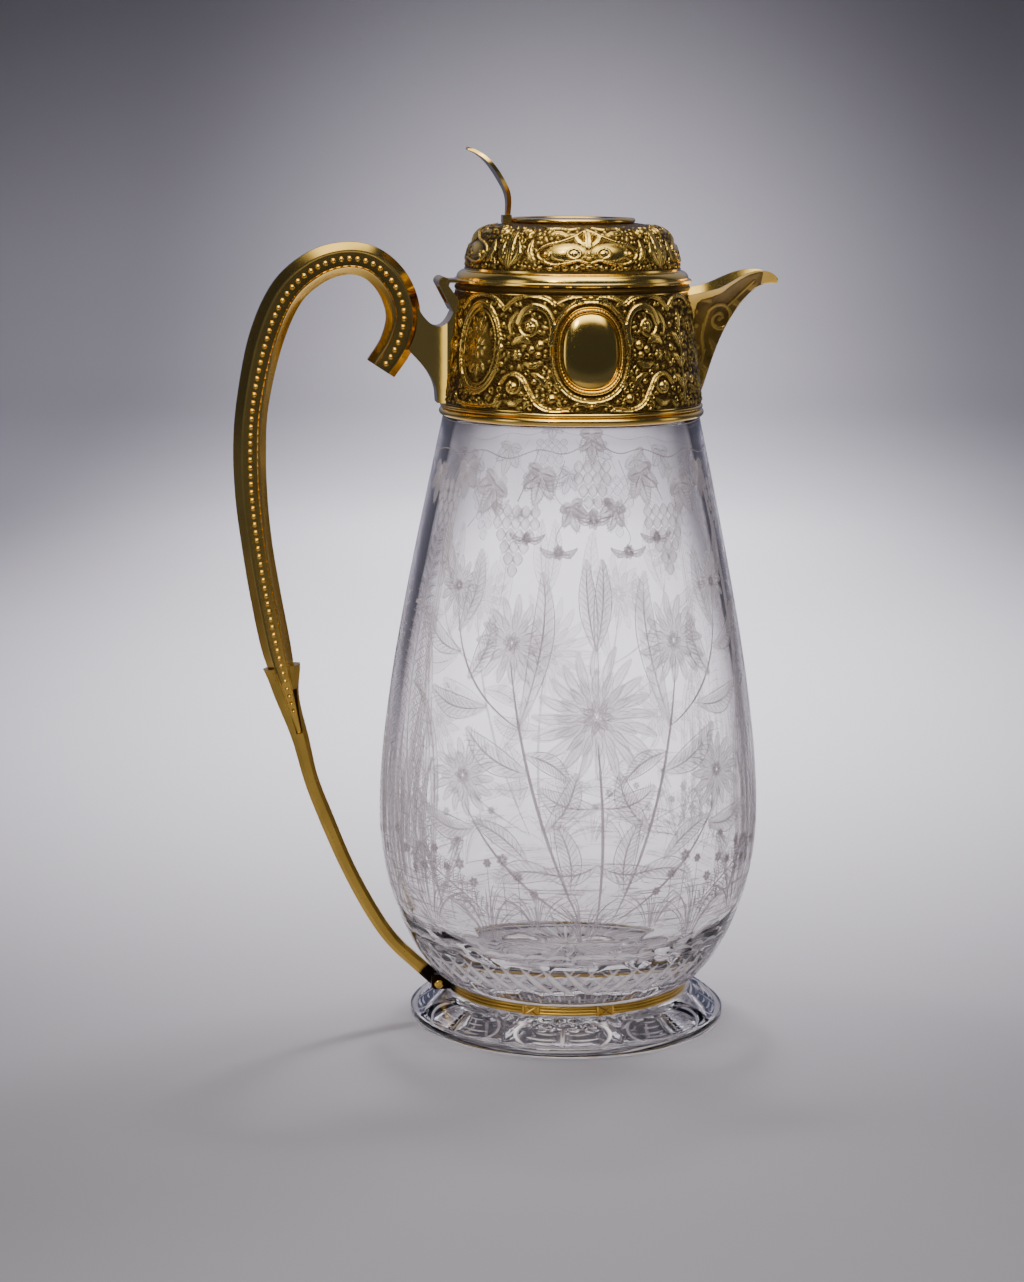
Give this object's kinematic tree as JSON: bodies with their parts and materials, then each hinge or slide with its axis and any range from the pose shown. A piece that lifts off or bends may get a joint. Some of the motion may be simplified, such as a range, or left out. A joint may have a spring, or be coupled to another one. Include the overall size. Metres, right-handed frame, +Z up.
{
  "type": "claret jug",
  "caption": "Tall pear-shaped glass claret jug on a spreading foot, in gilt mounts with a beaded scroll handle, a beak spout and a domed lid hinged at the rear.",
  "frame": {"origin": "centre of the foot's flat underside, where the jug's axis meets the table", "axes": "+Z up the jug's axis; +X towards the spout; -X towards the handle and the hinge; Y = 0 is the mirror plane"},
  "size_m": [0.1759, 0.1244, 0.2852],
  "materials": {
    "cut_glass": "clear cut glass with matt wheel engraving outside",
    "silver_gilt": "polished gilding",
    "chased_silver_gilt": "chased relief on a matted ground",
    "plaster": "matt set plaster"
  },
  "bodies": {
    "jug": {"glass_body": "cut_glass", "neck_cement": "plaster", "collar_base": "silver_gilt", "collar_band": "chased_silver_gilt", "collar_rim": "silver_gilt", "cartouche_front": "silver_gilt", "cartouche_rear": "silver_gilt", "spout": "silver_gilt", "handle_scroll": "silver_gilt", "handle_beads_front": "silver_gilt", "handle_beads_rear": "silver_gilt", "handle_tail": "silver_gilt", "handle_bracket": "silver_gilt", "foot_ring": "silver_gilt", "foot_pin": "silver_gilt", "foot_pin_nut": "silver_gilt", "hinge_ears": "silver_gilt", "hinge_pin": "silver_gilt", "hinge_finial": "silver_gilt"},
    "lid": {"lid_hinge_leaf": "silver_gilt", "lid_flange": "silver_gilt", "lid_bezel": "silver_gilt", "lid_dome": "chased_silver_gilt", "lid_disc": "silver_gilt", "thumbpiece": "silver_gilt"}
  },
  "joints": [
    {"name": "lid_hinge", "type": "hinge", "parent": "jug", "child": "lid", "pos_m": [-0.0422, 0, 0.24285], "axis": [0, -1, 0], "range_deg": [0, 84]}
  ]
}
